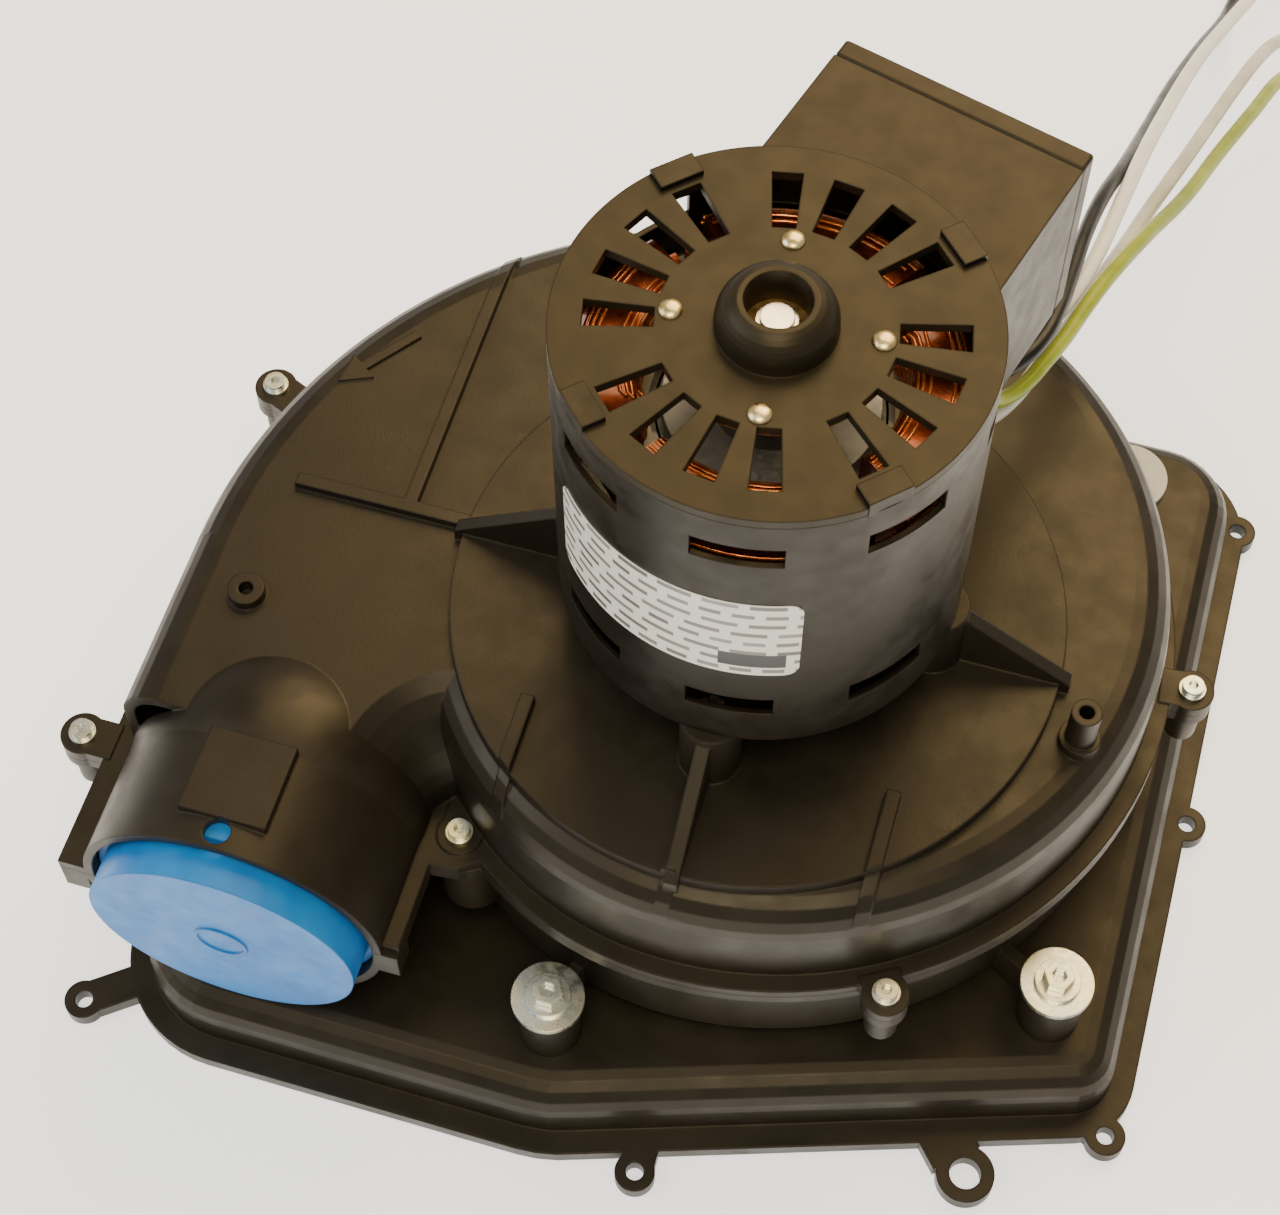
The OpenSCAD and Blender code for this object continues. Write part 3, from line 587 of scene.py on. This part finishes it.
class FAN_OT_leads(Operator):
    """Lay the four loose leads, each tied in a coil that ends in its terminal"""

    bl_idname = "fan.leads"
    bl_label = "Leads"

    def execute(self, context):
        settings = context.scene.fan_leads
        colours = {
            "black": ("#121110", "#1f1d1b"),
            "white": ("#e6e3da", "#f1efe9"),
            "grey": ("#bdb9ab", "#cfccc0"),
            "green": ("#7c8a1c", "#9aa62e"),
        }
        nylon = clear_nylon()
        tie_plastic = glass_filled_nylon()
        for name, route in ROUTES.items():
            dress(nylon, f"terminal_{name}")
            points = [Vector(p) * MM for p in route] + self.coil(settings, COILS[name])
            lead = piece(
                f"{name}_lead",
                self.curve(f"{name}_lead", points),
                soft_pvc(f"pvc_{name}", *colours[name]),
                "housing",
                stands_for=(f"lead_{name}", f"coil_{name}"),
            )
            band = self.tie(settings, COILS[name])
            tie = piece(f"{name}_tie", band, tie_plastic, "housing")
        dress(rubber("grommet_rubber"), "lead_grommet")
        return {"FINISHED"}

    def place(self, coil):
        """Matrix from a coil's own frame, where the lead comes in along +Y at +X, to the floor."""
        x, y, turned, clockwise = coil
        flip = Matrix.Scale(-1, 4, (1, 0, 0)) if clockwise else Matrix.Identity(4)
        turn = Matrix.Rotation(math.radians(turned), 4, "Z")
        return Matrix.Translation((x * MM, y * MM, 0)) @ turn @ flip

    def coil(self, settings, coil):
        """Points of a flat spiral, its turns side by side, and of the tail that curves into its middle."""
        steps = 26
        tail_steps = 7
        points = []
        for i in range(1, steps + 1):
            turns = settings.coil_turns * i / steps
            radius = settings.coil_radius - settings.coil_pitch * turns
            angle = 2 * math.pi * turns
            points.append(Vector((radius * math.cos(angle), radius * math.sin(angle), LEAD_R)))
        inner = settings.coil_radius - settings.coil_pitch * settings.coil_turns
        for i in range(1, tail_steps + 1):
            angle = math.pi * (1 + i / tail_steps)
            x = settings.tail_radius * (1 + math.cos(angle)) - inner
            points.append(Vector((x, settings.tail_radius * math.sin(angle), LEAD_R)))
        return [self.place(coil) @ p for p in points]

    def curve(self, name, points):
        """One smooth round curve through the points."""
        data = bpy.data.curves.new(name, "CURVE")
        data.dimensions = "3D"
        data.bevel_depth = LEAD_R
        data.bevel_resolution = 5
        data.use_fill_caps = True
        data.resolution_u = 8
        spline = data.splines.new("BEZIER")
        spline.bezier_points.add(len(points) - 1)
        for knot, point in zip(spline.bezier_points, points):
            knot.co = point
            knot.handle_left_type = knot.handle_right_type = "AUTO"
        return data

    def tie(self, settings, coil):
        """A narrow band round the coil's turns."""
        outer = settings.coil_radius
        inner = outer - settings.coil_pitch * settings.coil_turns
        half = ((outer - inner) / 2 + LEAD_R + 0.4 * MM, LEAD_R + 0.2 * MM)
        bm = bmesh.new()
        bmesh.ops.create_circle(bm, segments=28, radius=1)
        bmesh.ops.scale(bm, vec=(half[0], half[1], 1), verts=bm.verts)
        band = bmesh.ops.extrude_edge_only(bm, edges=bm.edges)["geom"]
        moved = [v for v in band if isinstance(v, bmesh.types.BMVert)]
        bmesh.ops.translate(bm, vec=(0, 0, 2.6 * MM), verts=moved)
        bmesh.ops.recalc_face_normals(bm, faces=bm.faces)
        bmesh.ops.solidify(bm, geom=bm.faces[:], thickness=0.3 * MM)
        # Stand the band upright across the turns, then carry it round them, clear of the lead's way in
        upright = Matrix.Rotation(math.radians(90), 4, "X")
        middle = Matrix.Translation(((outer + inner) / 2, 0, half[1]))
        bmesh.ops.transform(bm, matrix=middle @ upright, verts=bm.verts)
        bmesh.ops.rotate(bm, matrix=Matrix.Rotation(math.radians(60), 3, "Z"), verts=bm.verts)
        bmesh.ops.transform(bm, matrix=self.place(coil), verts=bm.verts)
        bmesh.ops.recalc_face_normals(bm, faces=bm.faces)
        return mesh_from("tie", bm)


class FAN_OT_housing(Operator):
    """Give the collector box, the scroll housing and their seals their plastics and rubber"""

    bl_idname = "fan.housing"
    bl_label = "Housing"

    def execute(self, context):
        dress(moulded_polypropylene("cover_polypropylene", PIN_MARKS), "upper_housing")
        dress(moulded_polypropylene("box_polypropylene"), "lower_housing", "collector_box")
        dress(white_polyethylene(), "box_plug")
        dress(rubber("seal_rubber"), "inlet_seal", "mount_grommets")
        dress(blue_polyethylene(), "outlet_plug")
        return {"FINISHED"}


class FAN_OT_fasteners(Operator):
    """Plate the screws and washers with zinc"""

    bl_idname = "fan.fasteners"
    bl_label = "Fasteners"

    def execute(self, context):
        kinds = ("mount_screw", "mount_washer", "housing_screw")
        screws = [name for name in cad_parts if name.startswith(kinds)]
        dress(zinc_plate(), "motor_screws", *screws)
        return {"FINISHED"}


class FAN_OT_wheel(Operator):
    """Give the wheel, its hub, the inlet ring, the shaft and the cooling fan their metals and nylon"""

    bl_idname = "fan.wheel"
    bl_label = "Wheel"

    def execute(self, context):
        dress(galvanised_sheet(), "wheel", "wheel_hub", "inlet_ring")
        dress(ground_steel(), "shaft")
        dress(glass_filled_nylon(), "cooling_fan")
        return {"FINISHED"}


class FAN_OT_motor(Operator):
    """Paint the motor and fit its rivets and label"""

    bl_idname = "fan.motor"
    bl_label = "Motor"

    def execute(self, context):
        settings = context.scene.fan_motor
        dress(baked_enamel("shell_enamel", "#0f0d0a", "#15120e"), "motor_shell", "lower_shield")
        # The end cap takes a lighter copy of the shell's enamel: painted sheen on the motor's top, where
        # it faces the overhead light
        dress(baked_enamel("cap_enamel_painted_sheen", "#1d1910", "#262014", (0.38, 0.46)), "end_cap")
        dress(varnished_laminations(), "stator_core", "rotor_core")
        dress(cast_aluminium(), "rotor_rings")
        dress(polyester_film(), "slot_liners")
        bronze = yellow_metal("porous_bronze", "#8a6a3c", "#b08c55", (0.4, 0.55))
        dress(bronze, "upper_bearing", "lower_bearing")
        brass = yellow_metal("satin_brass", "#cdb477", "#e8d8a6", (0.25, 0.38))
        piece("rivets", self.rivets(settings), brass, "housing", ("end_cap_rivets",))
        piece("label", self.label(settings), printed_film(), "housing", ("motor_label",))
        return {"FINISHED"}

    def rivets(self, settings):
        """Four domed heads on their shanks."""
        low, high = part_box("end_cap_rivets")
        deck = high.z - 1.2 * MM
        bm = bmesh.new()
        for i in range(4):
            angle = math.radians(90 * i + RIVET_TURN)
            at = Vector((RIVET_CIRCLE * math.cos(angle), RIVET_CIRCLE * math.sin(angle), deck))
            head = bmesh.ops.create_uvsphere(
                bm, u_segments=24, v_segments=16, radius=settings.rivet_radius
            )
            bmesh.ops.scale(bm, vec=(1, 1, 0.5), verts=head["verts"])
            bmesh.ops.translate(bm, vec=at, verts=head["verts"])
            shank = bmesh.ops.create_cone(
                bm, cap_ends=True, segments=20, radius1=SHANK_R, radius2=SHANK_R, depth=deck - low.z
            )
            middle = Vector((at.x, at.y, (deck + low.z) / 2))
            bmesh.ops.translate(bm, vec=middle, verts=shank["verts"])
        return mesh_from("rivets", bm)

    def label(self, settings):
        """A thin rectangle with round corners, bent round the shell."""
        low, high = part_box("motor_label")
        height = high.z - low.z
        width = SHELL_R * LABEL_SWEEP
        strips = 40
        bm = bmesh.new()
        bmesh.ops.create_grid(bm, x_segments=1, y_segments=1, size=0.5)
        bmesh.ops.scale(bm, vec=(width, height, 1), verts=bm.verts)
        bmesh.ops.translate(bm, vec=(width / 2, height / 2, 0), verts=bm.verts)
        bmesh.ops.bevel(
            bm,
            geom=bm.verts[:],
            offset=settings.label_corner,
            offset_type="OFFSET",
            segments=6,
            profile=0.5,
            affect="VERTICES",
            material=-1,
        )
        for i in range(1, strips):
            whole = bm.verts[:] + bm.edges[:] + bm.faces[:]
            cut = (width * i / strips, 0, 0)
            bmesh.ops.bisect_plane(bm, geom=whole, plane_co=cut, plane_no=(1, 0, 0))
        flat = bm.loops.layers.uv.new("flat")
        for face in bm.faces:
            for loop in face.loops:
                loop[flat].uv = (loop.vert.co.x / MM, loop.vert.co.y / MM)
        bmesh.ops.solidify(bm, geom=bm.faces[:], thickness=-0.2 * MM)
        for vert in bm.verts:
            angle = LABEL_START + vert.co.x / SHELL_R
            radius = SHELL_R + 0.02 * MM + abs(vert.co.z)
            vert.co = Vector((radius * math.cos(angle), radius * math.sin(angle), low.z + vert.co.y))
        bmesh.ops.recalc_face_normals(bm, faces=bm.faces)
        return mesh_from("label", bm, smooth=False)


class FAN_OT_windings(Operator):
    """Wind the stator with enamelled copper wire"""

    bl_idname = "fan.windings"
    bl_label = "Windings"

    def execute(self, context):
        settings = context.scene.fan_motor
        # The winding's body under the strands takes a darker copy of the wire's copper: painted shade in
        # the gaps between the wires
        under = enamelled_copper("copper_bundle_painted_shade", "#5e2307", "#8a3a12")
        dress(under, *(f"winding_{i}" for i in range(1, 5)))
        wire = enamelled_copper("enamelled_wire", "#d85f1c", "#f29a52")
        low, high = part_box("winding_1")
        rng = random.Random(4)
        for i in range(4):
            bm = bmesh.new()
            for base in (low.z, high.z - END_TURN):
                self.bundle(bm, settings, base, rng)
            turn = Matrix.Rotation(math.radians(90 * i), 3, "Z")
            bmesh.ops.rotate(bm, matrix=turn, verts=bm.verts)
            piece(f"wires_{i + 1}", mesh_from("wires", bm), wire, "housing")
        return {"FINISHED"}

    def bundle(self, bm, settings, base, rng):
        """Wires that lie side by side over the skin of one end turn, each a little out of line."""
        wire = settings.wire_radius
        upright = Matrix.Rotation(math.radians(90), 4, "X")
        for i in range(settings.strands):
            x, z = round_the_skin(i / settings.strands, *BUNDLE_HALF)
            radius = BUNDLE_CIRCLE + x + rng.uniform(-0.3, 0.1) * wire
            height = base + END_TURN / 2 + z
            ring = bmesh.ops.create_circle(bm, segments=6, radius=wire)["verts"]
            lean = Matrix.Rotation(rng.uniform(-0.012, 0.012), 4, "X")
            sweep = math.radians(72 - rng.uniform(0, 5))
            out = Matrix.Translation((radius, 0, height))
            first = Matrix.Rotation(-sweep / 2, 4, "Z") @ out @ upright
            bmesh.ops.transform(bm, matrix=first, verts=ring)
            edges = {edge for vert in ring for edge in vert.link_edges}
            swept = bmesh.ops.spin(
                bm, geom=ring + list(edges), cent=(0, 0, 0), axis=(0, 0, 1), angle=sweep, steps=12
            )
            last = [part for part in swept["geom_last"] if isinstance(part, bmesh.types.BMVert)]
            bmesh.ops.transform(bm, matrix=lean, verts=last)
        bmesh.ops.recalc_face_normals(bm, faces=bm.faces)


class FAN_OT_capacitor(Operator):
    """Round the capacitor box's edges and give the capacitor in it cast aluminium"""

    bl_idname = "fan.capacitor"
    bl_label = "Capacitor box"

    def execute(self, context):
        enamel = baked_enamel("box_enamel", "#1b1710", "#221d14", (0.38, 0.46))
        for node in ("capacitor_box", "box_lid"):
            mesh = mesh_from(node, merged_copy(node), smooth=False)
            made = piece(f"{node}_shell", mesh, enamel, "housing", (node,))
            soften(made, 0.9 * MM)
        dress(cast_aluminium(), "capacitor")
        return {"FINISHED"}


class FAN_PT_panel(Panel):
    """Lists the fan's makers"""

    bl_label = "Combustion fan"
    bl_space_type = "VIEW_3D"
    bl_region_type = "UI"
    bl_category = "Combustion fan"

    def draw(self, context):
        for maker in MAKERS:
            self.layout.operator(maker.bl_idname)


SETTINGS = {"fan_stage": StageSettings, "fan_leads": LeadSettings, "fan_motor": MotorSettings}
MAKERS = (
    FAN_OT_stage,
    FAN_OT_leads,
    FAN_OT_housing,
    FAN_OT_fasteners,
    FAN_OT_wheel,
    FAN_OT_motor,
    FAN_OT_windings,
    FAN_OT_capacitor,
)
CLASSES = (*SETTINGS.values(), *MAKERS, FAN_PT_panel)


def register():
    for cls in CLASSES:
        bpy.utils.register_class(cls)
    for name, group in SETTINGS.items():
        setattr(bpy.types.Scene, name, PointerProperty(type=group))


def unregister():
    for name in SETTINGS:
        delattr(bpy.types.Scene, name)
    for cls in reversed(CLASSES):
        bpy.utils.unregister_class(cls)


def main():
    register()
    bpy.ops.fan.stage()
    bpy.ops.fan.leads()
    bpy.ops.fan.housing()
    bpy.ops.fan.fasteners()
    bpy.ops.fan.wheel()
    bpy.ops.fan.motor()
    bpy.ops.fan.windings()
    bpy.ops.fan.capacitor()


if __name__ == "__main__":
    main()
